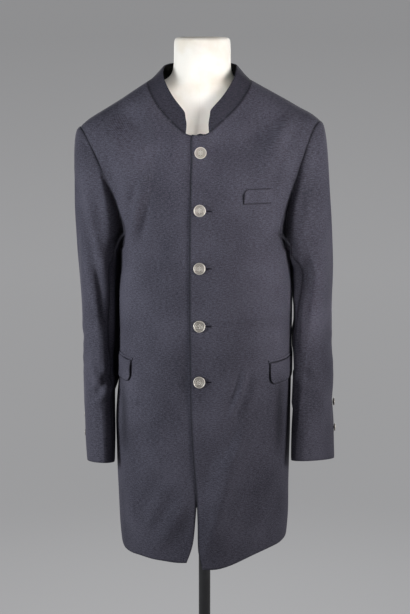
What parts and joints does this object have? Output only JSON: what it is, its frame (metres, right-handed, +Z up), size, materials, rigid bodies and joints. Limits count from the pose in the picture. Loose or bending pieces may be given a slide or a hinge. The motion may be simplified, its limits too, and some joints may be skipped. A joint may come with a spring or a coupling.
{
  "type": "trachten jacket on a limbless dress form with a stand",
  "caption": "Long stand-collar wool folk-dress jacket with a buttoned front, hip flaps and a breast welt, on a limbless dress form and round-base stand.",
  "frame": {"origin": "centre of the underside of the stand's base, on the floor", "axes": "+Z up along the pole, the coat's front faces -Y, +X is the wearer's left"},
  "size_m": [0.5223, 0.4, 1.5725],
  "materials": {
    "wool_cloth": "fine matt worsted twill, charcoal with a violet cast",
    "collar_cloth": "matt dense wool cloth, darker charcoal",
    "pewter": "cast pewter, satin with dark hollows",
    "form_cover": "ivory jersey stretched over the form",
    "stand_paint": "satin black"
  },
  "bodies": {
    "root": {"front_left": "wool_cloth", "back_left": "wool_cloth", "upper_sleeve_left": "wool_cloth", "under_sleeve_left": "wool_cloth", "cuff_button_left_1": "pewter", "cuff_button_left_2": "pewter", "hip_flap_left": "wool_cloth", "hip_jet_left": "wool_cloth", "front_right": "wool_cloth", "back_right": "wool_cloth", "upper_sleeve_right": "wool_cloth", "under_sleeve_right": "wool_cloth", "cuff_button_right_1": "pewter", "cuff_button_right_2": "pewter", "hip_flap_right": "wool_cloth", "hip_jet_right": "wool_cloth", "collar": "collar_cloth", "breast_welt": "wool_cloth", "front_button_1": "pewter", "front_button_2": "pewter", "front_button_3": "pewter", "front_button_4": "pewter", "front_button_5": "pewter", "dress_form": "form_cover", "pole": "stand_paint", "base": "stand_paint"}
  },
  "joints": []
}
